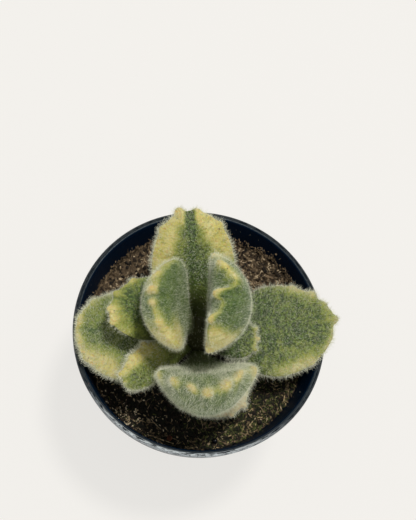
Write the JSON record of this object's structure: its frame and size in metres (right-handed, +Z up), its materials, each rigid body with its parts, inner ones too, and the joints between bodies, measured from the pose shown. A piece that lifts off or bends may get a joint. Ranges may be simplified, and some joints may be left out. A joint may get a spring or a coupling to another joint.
{
  "type": "bears paw succulent in a nursery pot",
  "caption": "Variegated bears paw succulent with thick, fuzzy, toothed leaves on a short stem, in a round tapered nursery pot full of peat.",
  "frame": {"origin": "centre of the pot's flat base", "axes": "+Z up along the pot's axis, X along the plant's widest pair of leaves, -Y towards the leaf that turns up at the front"},
  "size_m": [0.0569, 0.055, 0.0808],
  "materials": {
    "pot": "satin black moulded polypropylene",
    "soil": "crumbly fibrous peat",
    "stem": "olive, finely hairy",
    "leaf": "green with yellow margins, covered in short white hairs"
  },
  "bodies": {
    "root": {"pot": "pot", "soil": "soil", "stem": "stem", "leaf_left_low": "leaf", "leaf_right_low": "leaf", "leaf_back": "leaf", "leaf_front_low": "leaf", "leaf_front": "leaf", "leaf_left_back": "leaf", "leaf_left_front": "leaf", "leaf_right_mid": "leaf", "leaf_left_upright": "leaf", "leaf_right_upright": "leaf"}
  },
  "joints": []
}
